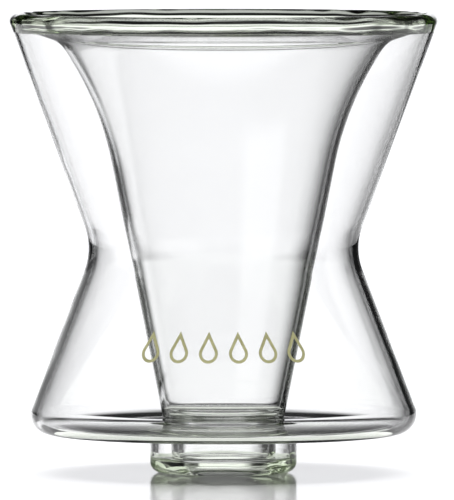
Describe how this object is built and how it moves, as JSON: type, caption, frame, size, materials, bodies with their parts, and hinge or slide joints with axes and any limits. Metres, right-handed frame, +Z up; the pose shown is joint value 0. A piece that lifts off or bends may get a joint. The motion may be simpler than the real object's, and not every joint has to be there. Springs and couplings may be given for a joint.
{
  "type": "pour over dripper",
  "caption": "Double-walled clear glass pour over dripper: flared funnel inside an hourglass shell, with a thick rim bead, flat base and short collar that drops into a mug.",
  "frame": {"origin": "centre of the foot ring's underside, on the axis", "axes": "+Z up along the axis of revolution, out of the funnel's mouth; the printed band faces -Y"},
  "size_m": [0.11, 0.11, 0.118],
  "materials": {
    "clear_glass": "fire-polished clear borosilicate, pale green where it is thick",
    "enamel": "thin satin olive enamel print"
  },
  "bodies": {
    "root": {"rim_bead": "clear_glass", "inner_funnel": "clear_glass", "outlet_tube": "clear_glass", "outer_shell": "clear_glass", "base_plate": "clear_glass", "foot_collar": "clear_glass", "foot_ring": "clear_glass", "printed_band": "enamel"}
  },
  "joints": []
}
